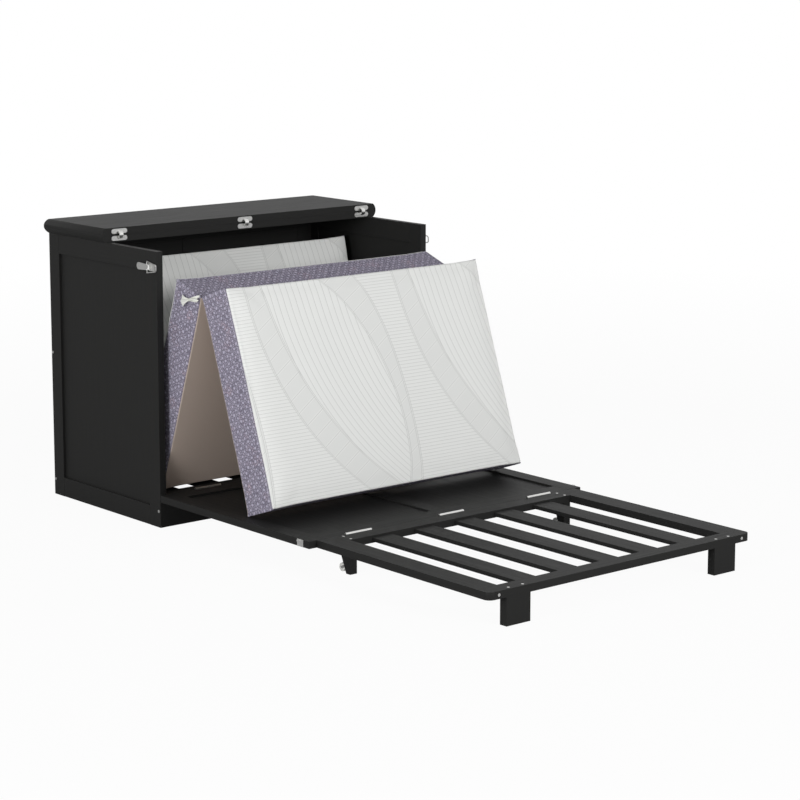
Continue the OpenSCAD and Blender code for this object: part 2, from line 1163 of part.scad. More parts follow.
// a bare cloth tag sewn in at the fold, lying on the middle section's left end
module mattress_tag() {
    color("White")
        as_middle()
            translate([-sec_w / 2 - tag_t - soft_gap, 0, 0])
                rotate([90, 0, 90])
                    linear_extrude(tag_t)
                        polygon([for (p = tag_shares) p * tag_reach]);
}

left_side_stiles();
left_side_rails();
left_side_panel();
right_side_stiles();
right_side_rails();
right_side_panel();
back_stiles();
back_rails();
back_panels();
base_apron();
deck_cleats();
deck_rails();
deck_bearer();
deck_slats();
side_bolts();
lid_rear_leaf();
lid_rear_cups();
lid_front_leaf();
lid_front_cups();
lid_links();
latch_bases();
latch_lever_left();
latch_lever_right();
latch_bail_left();
latch_bail_right();
door_hinge_fixed();
door_hinge_pins();
door_hinge_moving();
door_stiles();
door_rails();
door_mid_stile();
door_panels();
door_strikes();
foot_hinge_fixed();
foot_hinge_pins();
foot_hinge_moving();
foot_side_rails();
foot_near_rail();
foot_end_rail();
foot_slats();
end_legs();
mid_legs();
roller_brackets();
roller_left();
roller_right();
leg_screws();
end_bolts();
mattress_rear_base();
mattress_rear_core();
mattress_rear_top();
mattress_middle_base();
mattress_middle_core();
mattress_middle_top();
mattress_front_base();
mattress_front_core();
mattress_front_top();
mattress_fold_seams();
mattress_tag();
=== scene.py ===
import json
import math

import bmesh
import bpy
from mathutils import Matrix, Vector, kdtree, noise


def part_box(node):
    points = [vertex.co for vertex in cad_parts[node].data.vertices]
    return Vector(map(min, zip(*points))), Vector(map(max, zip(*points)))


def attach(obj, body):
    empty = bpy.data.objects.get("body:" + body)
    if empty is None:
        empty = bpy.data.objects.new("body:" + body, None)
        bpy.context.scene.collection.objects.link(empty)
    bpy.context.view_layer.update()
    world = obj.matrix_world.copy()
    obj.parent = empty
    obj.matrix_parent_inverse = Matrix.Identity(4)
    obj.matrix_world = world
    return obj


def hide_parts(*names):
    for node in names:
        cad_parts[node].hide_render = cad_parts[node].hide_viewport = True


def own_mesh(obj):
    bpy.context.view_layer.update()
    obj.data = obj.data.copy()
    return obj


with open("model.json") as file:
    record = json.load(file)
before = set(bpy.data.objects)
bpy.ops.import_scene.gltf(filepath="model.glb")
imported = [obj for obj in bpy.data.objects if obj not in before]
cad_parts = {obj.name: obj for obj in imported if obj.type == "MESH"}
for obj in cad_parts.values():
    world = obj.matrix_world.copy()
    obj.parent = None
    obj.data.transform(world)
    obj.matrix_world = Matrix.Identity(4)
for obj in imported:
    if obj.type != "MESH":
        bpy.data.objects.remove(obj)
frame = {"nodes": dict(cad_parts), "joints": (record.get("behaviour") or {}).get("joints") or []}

# The cabinet bed, dressed. Lengths are in metres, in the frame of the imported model.
nodes = frame["nodes"]
joints = {joint["name"]: joint for joint in frame["joints"]}
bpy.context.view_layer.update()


# The room: a pale studio floor, a soft surround that is dimmer overhead, and two lamps. The camera
# stands far off to the left of the foot end, a little above the lid, behind a long lens.
CAMERA_PLACE = Vector((-4.6796, -5.6697, 1.8349))
CAMERA_YAW = math.radians(39.921)
CAMERA_PITCH = math.radians(9.579)
CAMERA_LENS = 110.745
CAMERA_SHIFT = -0.08
SENSOR_WIDTH = 36.0
SIGHT = 60.0
WHITE = (1.0, 1.0, 1.0, 1.0)
SURROUND = 0.5
SURROUND_ABOVE = 0.2
FLOOR_PAINT = (0.8, 0.8, 0.8, 1.0)
FLOOR_HALF = 14.0
FLOOR_NEAR = 2.2
FLOOR_FAR = 6.0
FLOOR_GLOW = 0.95
LAMP_AIM = Vector((0.0, 0.0, 0.4))
LAMPS = {
    # name: place, size, watts
    "front": ((0.6, -6.8, 2.6), 2.0, 238.0),
    "left": ((-6.2, -1.8, 1.6), 2.4, 190.0),
}


def linear(code):
    """A colour written as sRGB hex, as the linear values that a shader takes."""
    parts = [int(code[i:i + 2], 16) / 255 for i in (1, 3, 5)]
    return [p / 12.92 if p <= 0.04045 else ((p + 0.055) / 1.055) ** 2.4 for p in parts] + [1.0]


def add(tree, kind, *sources, inputs=None, **settings):
    """Adds a shader node. Sources fill its inputs in order: a node, a socket, a value, or None to skip."""
    node = tree.nodes.new("ShaderNode" + kind)
    for name, value in settings.items():
        setattr(node, name, value)
    for key, source in [*enumerate(sources), *(inputs or {}).items()]:
        if isinstance(source, bpy.types.Node):
            source = next(s for s in source.outputs if s.enabled)
        if isinstance(source, bpy.types.NodeSocket):
            tree.links.new(source, node.inputs[key])
        elif source is not None:
            node.inputs[key].default_value = source
    return node


def new_material(name):
    """An empty node material and its tree."""
    material = bpy.data.materials.new(name)
    material.use_nodes = True
    material.node_tree.nodes.clear()
    return material, material.node_tree


camera_data = bpy.data.cameras.new("camera")
camera_data.lens = CAMERA_LENS
camera_data.sensor_width = SENSOR_WIDTH
camera_data.shift_y = CAMERA_SHIFT
camera_data.clip_end = SIGHT
camera = bpy.data.objects.new("camera", camera_data)
camera.location = CAMERA_PLACE
camera.rotation_euler = (math.pi / 2 - CAMERA_PITCH, 0.0, -CAMERA_YAW)
bpy.context.scene.collection.objects.link(camera)
bpy.context.scene.camera = camera
bpy.context.scene.view_settings.view_transform = "Standard"

for lamp_name, (place, size, watts) in LAMPS.items():
    lamp_data = bpy.data.lights.new(lamp_name, "AREA")
    lamp_data.shape = "DISK"
    lamp_data.size = size
    lamp_data.energy = watts
    lamp = bpy.data.objects.new(lamp_name, lamp_data)
    lamp.location = place
    lamp.rotation_euler = (LAMP_AIM - Vector(place)).to_track_quat("-Z", "Y").to_euler()
    bpy.context.scene.collection.objects.link(lamp)

world = bpy.data.worlds.new("studio_surround")
world.use_nodes = True
world.node_tree.nodes.clear()
rays = add(world.node_tree, "LightPath")
seen = add(world.node_tree, "Math", rays.outputs["Is Camera Ray"], rays.outputs["Is Glossy Ray"],
           operation="MAXIMUM")
seen = add(world.node_tree, "Math", seen, rays.outputs["Is Transmission Ray"], operation="MAXIMUM")
way = add(world.node_tree, "SeparateXYZ", add(world.node_tree, "TexCoord").outputs["Object"])
dim = add(world.node_tree, "MapRange", way.outputs["Z"], 0.0, 1.0, SURROUND, SURROUND_ABOVE)
soft = add(world.node_tree, "Background", WHITE, dim)
white = add(world.node_tree, "Background", WHITE, 1.0)
add(world.node_tree, "OutputWorld", add(world.node_tree, "MixShader", seen, soft, white))
bpy.context.scene.world = world

floor_material, tree = new_material("pale_studio_floor")
rays = add(tree, "LightPath")
away = add(tree, "VectorMath", add(tree, "TexCoord").outputs["Object"], operation="LENGTH").outputs["Value"]
glow = add(tree, "MapRange", away, FLOOR_NEAR, FLOOR_FAR, FLOOR_GLOW, 1.0)
share = add(tree, "Math", rays.outputs["Is Camera Ray"], glow, operation="MULTIPLY")
plain = add(tree, "BsdfDiffuse", FLOOR_PAINT)
lit = add(tree, "Emission", WHITE, 1.0)
add(tree, "OutputMaterial", add(tree, "MixShader", share, plain, lit))
floor_mesh = bmesh.new()
bmesh.ops.create_grid(floor_mesh, x_segments=1, y_segments=1, size=FLOOR_HALF)
floor_data = bpy.data.meshes.new("studio_floor")
floor_mesh.to_mesh(floor_data)
floor_mesh.free()
floor_data.materials.append(floor_material)
floor = bpy.data.objects.new("studio_floor", floor_data)
bpy.context.scene.collection.objects.link(floor)


# Cabinet: framed pine sides and back with flat panels, and slats on cleats inside. The wood is
# sanded, primed and sprayed satin black. The lacquer nearly fills the grain and rounds the edges.
LACQUER = "#1D1D1D"
LACQUER_THIN = "#252524"
GRAIN_WIDTH = 0.0035
GRAIN_LENGTH = 0.16
SPRAY_GRAIN = 0.004
LACQUER_ROUGH = (0.5, 0.62)
LACQUER_GLOSS = 0.12
LACQUER_RELIEF = 0.0003
EASED_EDGE = 0.0012
SHARP = math.radians(40)
LEVEL = math.radians(0.1)
TOUCHING = 0.00001


def lacquered_wood(grain):
    """Satin black lacquer over wood whose grain runs along one axis."""
    material, tree = new_material("satin_black_lacquer_grain_" + grain.lower())
    place = add(tree, "TexCoord").outputs["Object"]
    stretch = [1 / (GRAIN_LENGTH if axis == grain else GRAIN_WIDTH) for axis in "XYZ"]
    along = add(tree, "Mapping", place, inputs={"Scale": stretch})
    fibres = add(tree, "TexNoise", along, inputs={"Scale": 1.0, "Detail": 5.0, "Roughness": 0.6})
    orange_peel = add(tree, "TexNoise", place, inputs={"Scale": 1 / SPRAY_GRAIN, "Detail": 2.0})
    colour = add(tree, "MixRGB", fibres, linear(LACQUER), linear(LACQUER_THIN))
    rough = add(tree, "MapRange", fibres, 0.3, 0.7, *LACQUER_ROUGH)
    height = add(tree, "Math", fibres, 0.8, orange_peel.outputs[0], operation="MULTIPLY_ADD")
    relief = add(tree, "Bump",
                 inputs={"Strength": 0.25, "Distance": LACQUER_RELIEF, "Height": height.outputs[0]})
    paint = add(tree, "BsdfPrincipled", colour,
                inputs={"Roughness": rough.outputs[0], "Normal": relief.outputs[0],
                        "Specular IOR Level": LACQUER_GLOSS})
    add(tree, "OutputMaterial", paint)
    return material


def dress(node_name, material):
    """Gives a CAD node its finish."""
    slots = nodes[node_name].data.materials
    slots.clear()
    slots.append(material)


def ease_edges(node_name, flat_faces):
    """Rounds a CAD node's edges with modifiers, its own mesh left as it is.

    Where the board has flat faces only, each is made one whole face first, so that no thin
    triangle from a bolt hole shows in the lacquer.
    """
    weld = nodes[node_name].modifiers.new("joined_faces", "WELD")
    weld.merge_threshold = TOUCHING
    if flat_faces:
        whole = nodes[node_name].modifiers.new("whole_faces", "DECIMATE")
        whole.decimate_type = "DISSOLVE"
        whole.angle_limit = LEVEL
    rounding = nodes[node_name].modifiers.new("eased_edges", "BEVEL")
    rounding.width = EASED_EDGE
    rounding.segments = 2
    rounding.limit_method = "ANGLE"
    rounding.angle_limit = SHARP
    rounding.harden_normals = True


lacquer = {grain: lacquered_wood(grain) for grain in "XYZ"}


def lacquer_wood(grain, *names, flat_faces=True):
    """Sprays and eases the boards whose grain runs along one axis."""
    for name in names:
        dress(name, lacquer[grain])
        ease_edges(name, flat_faces)


lacquer_wood("X", "back_rails", "back_panels", "base_apron", "deck_rails", "deck_bearer")
lacquer_wood("Y", "left_side_rails", "right_side_rails", "deck_cleats", "deck_slats")
lacquer_wood("Z", "left_side_stiles", "right_side_stiles", "left_side_panel", "right_side_panel",
             "back_stiles")


# Lid: two leaves of the same board, the edge moulded all round, joined by hinges that let the
# front leaf fold back over the rear one. It has the cabinet's lacquer, grain along its length.
lacquer_wood("X", "lid_rear_leaf", "lid_front_leaf", flat_faces=False)


# Door and foot frame: a framed door that folds down as the middle of the bed, and the slatted
# frame that folds out of it on short legs. Both are lacquered like the cabinet.
lacquer_wood("X", "door_rails", "foot_near_rail", "foot_end_rail")
lacquer_wood("Y", "door_stiles", "door_mid_stile", "door_panels", "foot_side_rails", "foot_slats")
lacquer_wood("Z", "end_legs", "mid_legs")


# Hinges, latches, bolts and screws: steel, stamped, bent or turned, then bright nickel plated.
# The plating is smooth with a faint polish haze that softens what it mirrors.
NICKEL = "#D6D6D4"
POLISH_LENGTH = 1 / 12
POLISH_WIDTH = 0.0006
POLISH_ROUGH = (0.24, 0.38)
POLISH_RELIEF = 0.0001

nickel, tree = new_material("nickel_plated_steel")
place = add(tree, "TexCoord").outputs["Object"]
lines = add(tree, "Mapping", place, inputs={"Scale": [1 / POLISH_LENGTH, 1 / POLISH_WIDTH, 1 / POLISH_WIDTH]})
haze = add(tree, "TexNoise", lines, inputs={"Scale": 1.0, "Detail": 3.0})
rough = add(tree, "MapRange", haze, 0.3, 0.7, *POLISH_ROUGH)
relief = add(tree, "Bump", inputs={"Strength": 0.15, "Distance": POLISH_RELIEF, "Height": haze.outputs[0]})
plate = add(tree, "BsdfPrincipled",
            inputs={"Base Color": linear(NICKEL), "Metallic": 1.0, "Roughness": rough.outputs[0],
                    "Normal": relief.outputs[0]})
add(tree, "OutputMaterial", plate)
for name in (
        "lid_rear_cups", "lid_front_cups", "lid_links", "latch_bases", "latch_lever_left",
        "latch_lever_right", "latch_bail_left", "latch_bail_right", "door_hinge_fixed",
        "door_hinge_pins", "door_hinge_moving", "door_strikes", "foot_hinge_fixed",
        "foot_hinge_pins", "foot_hinge_moving", "roller_brackets", "side_bolts", "leg_screws",
        "end_bolts"):
    dress(name, nickel)


# Rollers: two off-white wheels of moulded nylon on steel axles behind the middle legs, on which
# the foot frame rolls. The mould leaves a fine grain, so they are half matt.
NYLON = "#DADAD6"
MOULD_GRAIN = 0.0008
MOULD_ROUGH = (0.35, 0.5)
MOULD_RELIEF = 0.0001

nylon, tree = new_material("moulded_nylon")
place = add(tree, "TexCoord").outputs["Object"]
grain = add(tree, "TexNoise", place, inputs={"Scale": 1 / MOULD_GRAIN, "Detail": 2.0})
rough = add(tree, "MapRange", grain, 0.3, 0.7, *MOULD_ROUGH)
relief = add(tree, "Bump", inputs={"Strength": 0.2, "Distance": MOULD_RELIEF, "Height": grain.outputs[0]})
plastic = add(tree, "BsdfPrincipled",
              inputs={"Base Color": linear(NYLON), "Roughness": rough.outputs[0],
                      "Normal": relief.outputs[0]})
add(tree, "OutputMaterial", plastic)
for name in ("roller_left", "roller_right"):
    dress(name, nylon)


# Mattress foam: three alike sections on fold seams, propped like a tent on the open door and the
# slats. Each is a foam slab whose sewn cover holds its faces crowned and draws its sides in.
SECTION_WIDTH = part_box("mattress_front_core")[1].x * 2
SECTION_LENGTH = 0.672
SECTION_DEPTH = 0.135
CORNER = 0.014
LEAN = math.radians(19.4)
REAR_LEAN = math.radians(16.5)
PAD_MARGIN = 0.002
PAD_VOXEL = 0.008
PAD_PRESSURE = 4.0
PAD_FRAMES = 20
NEAR_SPOTS = 8
PUFF = 0.009
UNDER_PUFF = 0.08
UNEVEN = 0.0012
UNEVEN_SPAN = 0.16

apex = Vector(joints["front_section_turn"]["pos_m"])
rear_hinge = Vector(joints["rear_section_turn"]["pos_m"])
front_foot = apex - SECTION_LENGTH * Vector((0.0, math.sin(LEAN), math.cos(LEAN)))
rear_foot = rear_hinge + SECTION_DEPTH * Vector((0.0, math.cos(REAR_LEAN), -math.sin(REAR_LEAN)))


def stood_up(place, tilt):
    """From a section lying on its base with one short end on the X axis, to its place in the bed."""
    return Matrix.Translation(place) @ Matrix.Rotation(tilt, 4, "X")


SECTIONS = {
    "rear": stood_up(rear_foot, math.pi / 2 - REAR_LEAN),
    "middle": stood_up(apex, LEAN - math.pi / 2),
    "front": stood_up(front_foot, math.pi / 2 - LEAN),
}


def stuffed_pad():
    """Blows up a closed slab of the foam's size as cloth, and returns its spots and how each moved."""
    slab = bmesh.new()
    bmesh.ops.create_cube(slab, size=1.0)
    size = Vector((SECTION_WIDTH, SECTION_LENGTH, SECTION_DEPTH)) - Vector((2, 2, 2)) * PAD_MARGIN
    bmesh.ops.scale(slab, vec=size, verts=slab.verts)
    bmesh.ops.translate(slab, vec=(0.0, SECTION_LENGTH / 2, SECTION_DEPTH / 2), verts=slab.verts)
    bmesh.ops.bevel(slab, geom=slab.edges[:], offset=CORNER - PAD_MARGIN, offset_type="OFFSET",
                    segments=3, profile=0.5, affect="EDGES", material=-1)
    pad = bpy.data.objects.new("foam_slab", bpy.data.meshes.new("foam_slab"))
    slab.to_mesh(pad.data)
    slab.free()
    scene = bpy.context.scene
    scene.collection.objects.link(pad)
    even = pad.modifiers.new("even_cloth", "REMESH")
    even.mode = "VOXEL"
    even.voxel_size = PAD_VOXEL
    pad.data = bpy.data.meshes.new_from_object(pad.evaluated_get(bpy.context.evaluated_depsgraph_get()))
    pad.modifiers.clear()
    cover = pad.modifiers.new("stuffing", "CLOTH")
    cover.settings.use_pressure = True
    cover.settings.uniform_pressure_force = PAD_PRESSURE
    cover.settings.effector_weights.gravity = 0.0
    for step in range(1, PAD_FRAMES + 1):
        scene.frame_set(step)
    blown = pad.evaluated_get(bpy.context.evaluated_depsgraph_get()).data
    spots = kdtree.KDTree(len(pad.data.vertices))
    moves = []
    for vertex, after in zip(pad.data.vertices, blown.vertices):
        move = after.co - vertex.co
        moves.append(move * PUFF / (PUFF + move.length))
        spots.insert(vertex.co, vertex.index)
    spots.balance()
    scene.frame_set(1)
    bpy.data.objects.remove(pad)
    return spots, moves


stuffing = stuffed_pad()


def filled_out(point):
    """How far the foam moves the cover there, with the slight unevenness of sewn cloth over foam.

    The lower half stays nearly level, since that is where a section lies on the bed.
    """
    move = Vector()
    if stuffing:
        spots, moves = stuffing
        found = [(moves[index], 1 / (gap + PAD_VOXEL / 4))
                 for spot, index, gap in spots.find_n(point, NEAR_SPOTS)]
        move = sum((m * weight for m, weight in found), Vector()) / sum(weight for m, weight in found)
    move.z += UNEVEN * noise.noise(point / UNEVEN_SPAN)
    if point.z < SECTION_DEPTH / 2:
        move.z *= UNDER_PUFF
    return move


def outward(point):
    """The direction straight out of a section's round-cornered outline."""
    reach = SECTION_WIDTH / 2 - CORNER
    near = Vector((max(-reach, min(reach, point.x)),
                   max(CORNER, min(SECTION_LENGTH - CORNER, point.y)), point.z))
    return (point - near).normalized()


def cloth_panel(mesh, height, inset, across=110, along=76, corner_steps=4):
    """A fine grid with the outline of a section drawn in by inset, its lines closer at the corners."""
    bmesh.ops.create_grid(mesh, x_segments=across, y_segments=along, size=0.5)
    radius = CORNER - inset
    for v in mesh.verts:
        for axis, size, steps in ((0, SECTION_WIDTH, across), (1, SECTION_LENGTH, along)):
            line = round((v.co[axis] + 0.5) * steps)
            near_end = min(line, steps - line)
            far = (size / 2 - CORNER) * (1 - (near_end - corner_steps) / (steps / 2 - corner_steps))
            at = far if near_end > corner_steps else (
                size / 2 - CORNER + radius * (1 - near_end / corner_steps))
            v.co[axis] = math.copysign(at, line - steps / 2)
        out = Vector((max(abs(v.co.x) - SECTION_WIDTH / 2 + CORNER, 0.0),
                      max(abs(v.co.y) - SECTION_LENGTH / 2 + CORNER, 0.0)))
        if out.x and out.y:
            shrink = out * (max(out) / out.length - 1)
            v.co.x += math.copysign(shrink.x, v.co.x)
            v.co.y += math.copysign(shrink.y, v.co.y)
        v.co += Vector((0.0, SECTION_LENGTH / 2, height))
    return [edge for edge in mesh.edges if edge.is_boundary]


def roll_edge(mesh, edges, steps):
    """Carries an open edge on through (outward, upward) steps, then closes it with a hidden face."""
    for out, up in steps:
        made = bmesh.ops.extrude_edge_only(mesh, edges=edges)["geom"]
        rim = {g for g in made if isinstance(g, bmesh.types.BMVert)}
        for v in rim:
            v.co += outward(v.co) * out + Vector((0.0, 0.0, up))
        edges = [g for g in made if isinstance(g, bmesh.types.BMEdge) and set(g.verts) <= rim]
    bmesh.ops.contextual_create(mesh, geom=edges)


def sew_up(name, mesh, section, material, slot, *stands_for):
    bmesh.ops.recalc_face_normals(mesh, faces=mesh.faces)
    for v in mesh.verts:
        v.co += filled_out(v.co)
    for face in mesh.faces:
        face.smooth = True
    mesh.transform(SECTIONS[section])
    data = bpy.data.meshes.new(name)
    mesh.to_mesh(data)
    mesh.free()
    data.materials.append(material)
    piece = bpy.data.objects.new(name, data)
    bpy.context.scene.collection.objects.link(piece)
    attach(piece, section + "_section")
    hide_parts(*stands_for)
    fold_away(piece)
    return piece


def fold_away(piece):
    """Gives the piece a mesh of its own."""
    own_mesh(piece)


# Quilted top: a matt white polyester knit, its pattern knitted in: pairs of arcs that bound sunk
# bands with raised slanting ribs, and flowing lines and level rules between them. The ribs carry a
# painted highlight and the grooves painted shade. It rolls over the section's edge to the seam.
KNIT = "#E3E4E2"
KNIT_BAND = "#DDDEDC"
# Painted highlight: a lighter white laid on the raised ribs.
KNIT_RIB_HIGHLIGHT = "#E7E8E6"
# Painted shade: a grey laid in the grooves.
KNIT_GROOVE_SHADE = "#C9CAC8"
TOP_ROLL = (0.0075, 0.004)
TOP_TURNS = [math.radians(angle) for angle in (0, 22.5, 45, 67.5, 90)]
TOP_TUCK = [(-0.0012, -0.0006), (-0.001, 0.0), (-0.006, 0.0004)]
TOP_INSET = 0.0085
PATTERN_START = 0.062
ARC_RADIUS = 0.88
LENS_RADIUS = 0.7
LENS_MIDDLE = 0.5
REPEAT = 0.57
BAND_WIDTH = 0.063
BAND_SPREAD = 0.085
LENS_REACH = 0.49
LENS_WAIST = 0.035
LENS_SPREAD = 0.4
PAIR_GAP = 0.0056
GROOVE = 0.0019
FLOW_GAP = 0.022
RULE_GAP = 0.0105
BAR_GAP = 0.052
BAR_PAIR = 0.007
BAR_SLANT = 0.63
LOOP = 0.0018
BAND_SINK = 0.3
RIB_RISE = 0.8
KNIT_RELIEF = 0.0005

white_knit, tree = new_material("white_polyester_knit")
cloth = add(tree, "SeparateXYZ", add(tree, "UVMap", uv_map="cloth"))
across, down = cloth.outputs["X"], cloth.outputs["Y"]
square = add(tree, "Math", down, 2.0, operation="POWER")
bend = add(tree, "Math", add(tree, "Math", ARC_RADIUS ** 2, square, operation="SUBTRACT"), operation="SQRT")
bend = add(tree, "Math", ARC_RADIUS, bend, operation="SUBTRACT")
place = add(tree, "Math", across, bend, operation="SUBTRACT")
inside = add(tree, "Math", place, REPEAT, operation="FLOORED_MODULO")
band_edge = add(tree, "Math", down, BAND_SPREAD, BAND_WIDTH, operation="MULTIPLY_ADD")
off_middle = add(tree, "Math", down, LENS_MIDDLE, operation="SUBTRACT")
square = add(tree, "Math", off_middle, off_middle, operation="MULTIPLY")
lens = add(tree, "Math", add(tree, "Math", LENS_RADIUS ** 2, square, operation="SUBTRACT"), operation="SQRT")
lens = add(tree, "Math", lens, LENS_REACH - LENS_RADIUS, operation="ADD")
lens = add(tree, "Math", lens, bend, operation="SUBTRACT")
waist = add(tree, "Math", square, LENS_SPREAD, LENS_WAIST, operation="MULTIPLY_ADD")
lens_far = add(tree, "Math", lens, waist, operation="ADD")
half_waist = add(tree, "Math", waist, 0.5, operation="MULTIPLY")
lens_middle = add(tree, "Math", lens, half_waist, operation="ADD")
in_band = add(tree, "Math", inside, band_edge, operation="LESS_THAN")
in_lens = add(tree, "Math", inside, lens_middle, half_waist, operation="COMPARE")
in_band = add(tree, "Math", in_band, in_lens, operation="MAXIMUM")
in_flow = add(tree, "Math", inside, lens, operation="LESS_THAN")
nearest = add(tree, "Math", place, REPEAT / 2, operation="PINGPONG")
for edge in (band_edge, lens, lens_far):
    gap = add(tree, "Math", add(tree, "Math", inside, edge, operation="SUBTRACT"), operation="ABSOLUTE")
    nearest = add(tree, "Math", nearest, gap, operation="MINIMUM")
pair = add(tree, "Math", nearest, PAIR_GAP / 2, GROOVE / 2, operation="COMPARE")
flow = add(tree, "Math", place, FLOW_GAP / 2, operation="PINGPONG")
flow = add(tree, "Math", flow, GROOVE / 2, operation="LESS_THAN")
rule = add(tree, "Math", down, RULE_GAP / 2, operation="PINGPONG")
rule = add(tree, "Math", rule, GROOVE / 3, operation="LESS_THAN")
slant = add(tree, "Math", across, BAR_SLANT, down, operation="MULTIPLY_ADD")
bars = add(tree, "Math", slant, BAR_GAP / 2, operation="PINGPONG")
between = add(tree, "Math", bars, GROOVE / 3, operation="LESS_THAN")
ribs_and_highlight = add(tree, "Math", bars, BAR_PAIR / 2, GROOVE / 2, operation="COMPARE")
ribs_and_highlight = add(tree, "Math", ribs_and_highlight, in_band, operation="MULTIPLY")
groove_and_shade = add(tree, "Mix", inputs={0: in_flow, 2: rule, 3: flow}, data_type="FLOAT")
groove_and_shade = add(tree, "Mix", inputs={0: in_band, 2: groove_and_shade, 3: between}, data_type="FLOAT")
groove_and_shade = add(tree, "Math", groove_and_shade, pair, operation="MAXIMUM")
loops = add(tree, "TexVoronoi", add(tree, "UVMap", uv_map="cloth"), inputs={"Scale": 1 / LOOP})
colour = add(tree, "MixRGB", in_band, linear(KNIT), linear(KNIT_BAND))
# The raised ribs are painted lighter, as a painted highlight.
colour = add(tree, "MixRGB", ribs_and_highlight, colour, linear(KNIT_RIB_HIGHLIGHT))
# The grooves are painted darker, as painted shade.
colour = add(tree, "MixRGB", groove_and_shade, colour, linear(KNIT_GROOVE_SHADE))
height = add(tree, "Math", groove_and_shade, -1.0, loops.outputs["Distance"], operation="MULTIPLY_ADD")
height = add(tree, "Math", ribs_and_highlight, RIB_RISE, height, operation="MULTIPLY_ADD")
height = add(tree, "Math", in_band, -BAND_SINK, height, operation="MULTIPLY_ADD")
relief = add(tree, "Bump", inputs={"Strength": 0.5, "Distance": KNIT_RELIEF, "Height": height})
knit = add(tree, "BsdfPrincipled", colour,
           inputs={"Roughness": 0.92, "Specular IOR Level": 0.2, "Normal": relief})
add(tree, "OutputMaterial", knit)

for section in SECTIONS:
    top = bmesh.new()
    rim = cloth_panel(top, SECTION_DEPTH, TOP_INSET)
    quarter = [(TOP_ROLL[0] * (math.sin(b) - math.sin(a)), TOP_ROLL[1] * (math.cos(b) - math.cos(a)))
               for a, b in zip(TOP_TURNS, TOP_TURNS[1:])]
    roll_edge(top, rim, quarter + TOP_TUCK)
    flat = top.loops.layers.uv.new("cloth")
    for face in top.faces:
        for loop in face.loops:
            co = loop.vert.co
            spot = co + outward(co) * (SECTION_DEPTH - co.z)
            loop[flat].uv = (spot.x + SECTION_WIDTH / 2 - PATTERN_START, SECTION_LENGTH - spot.y)
    knit_top = sew_up(f"mattress_{section}_knit", top, section, white_knit, "top_knit",
                      f"mattress_{section}_top")


# Border: a printed lavender cloth round the foam's four edges, joined once on the right side. The
# print is a fine dark net with paler oval dots and pink patches, dull like any plain weave, and a
# row of stitches runs under the top seam.
BORDER = "#A9A4B4"
BORDER_PINK = "#BBA9B5"
BORDER_NET = "#736E7E"
BORDER_DOT = "#B8B4C6"
STITCH = "#CFCDD8"
SEAM_IN = 0.004
BORDER_LOW = 0.003
BORDER_HIGH = 0.1305
BORDER_FOOT = [(0.0018, 0.0006), (0.0012, 0.0014), (0.0008, 0.0045), (0.0002, 0.007)]
BORDER_SIDE = [(0.0, 0.01)] * 10
BORDER_HEAD = [(-0.0002, 0.007), (-0.0005, 0.0045), (-0.0006, 0.0019), (-0.0008, 0.0006)]
NET_CELL = 0.0062
NET_LINE = (0.08, 0.2)
NET_WANDER = 0.004
DOT_LATTICE = Vector((0.025, 0.028, 1.0))
DOT_RIM = (0.12, 0.18)
DOT_RING = (0.22, 0.03)
DOT_WANDER = 0.009
PINK_PATCH = 0.06
STITCH_STEP = 0.008
STITCH_SHARE = 0.7
STITCH_DROP = 0.006
THREAD_HALF = 0.0006
PRINT_RELIEF = 0.0003

border_print, tree = new_material("printed_polyester_border")
cloth = add(tree, "UVMap", uv_map="cloth")
flat = add(tree, "SeparateXYZ", cloth)
wander = add(tree, "TexNoise", cloth, inputs={"Scale": 1 / NET_CELL, "Detail": 1.0})
wander = add(tree, "VectorMath", wander.outputs["Color"], inputs={"Scale": NET_WANDER}, operation="SCALE")
crooked = add(tree, "VectorMath", cloth, wander, operation="ADD")
net = add(tree, "TexVoronoi", crooked, inputs={"Scale": 1 / NET_CELL}, feature="DISTANCE_TO_EDGE")
net = add(tree, "MapRange", net.outputs["Distance"], *NET_LINE, 1.0, 0.0)
astray = add(tree, "TexNoise", cloth, inputs={"Scale": 1 / DOT_LATTICE.x, "Detail": 0.0})
astray = add(tree, "VectorMath", astray.outputs["Color"], inputs={"Scale": DOT_WANDER}, operation="SCALE")
shares = add(tree, "VectorMath", cloth, astray, operation="ADD")
shares = add(tree, "VectorMath", shares, DOT_LATTICE, operation="DIVIDE")
dots = None
for start in (0.0, 0.5):
    spot = add(tree, "VectorMath", shares, (start, start, 0.0), operation="ADD")
    spot = add(tree, "VectorMath", spot, operation="FRACTION")
    spot = add(tree, "VectorMath", spot, (0.5, 0.5, 0.0), operation="SUBTRACT")
    spot = add(tree, "VectorMath", spot, operation="LENGTH").outputs["Value"]
    dots = spot if dots is None else add(tree, "Math", dots, spot, operation="MINIMUM")
dot = add(tree, "MapRange", dots, *DOT_RIM, 1.0, 0.0)
ring = add(tree, "Math", dots, *DOT_RING, operation="COMPARE")
net = add(tree, "Math", net, ring, operation="MAXIMUM")
patch = add(tree, "TexNoise", cloth, inputs={"Scale": 1 / PINK_PATCH, "Detail": 1.0})
patch = add(tree, "MapRange", patch, 0.55, 0.7, 0.0, 0.8)
colour = add(tree, "MixRGB", patch, linear(BORDER), linear(BORDER_PINK))
colour = add(tree, "MixRGB", net, colour, linear(BORDER_NET))
colour = add(tree, "MixRGB", dot, colour, linear(BORDER_DOT))
sewn = add(tree, "Math", flat.outputs["Y"], BORDER_HIGH - STITCH_DROP, THREAD_HALF, operation="COMPARE")
dash = add(tree, "Math", flat.outputs["X"], STITCH_STEP / 2, operation="PINGPONG")
dash = add(tree, "Math", dash, STITCH_STEP * STITCH_SHARE / 2, operation="LESS_THAN")
sewn = add(tree, "Math", sewn, dash, operation="MULTIPLY")
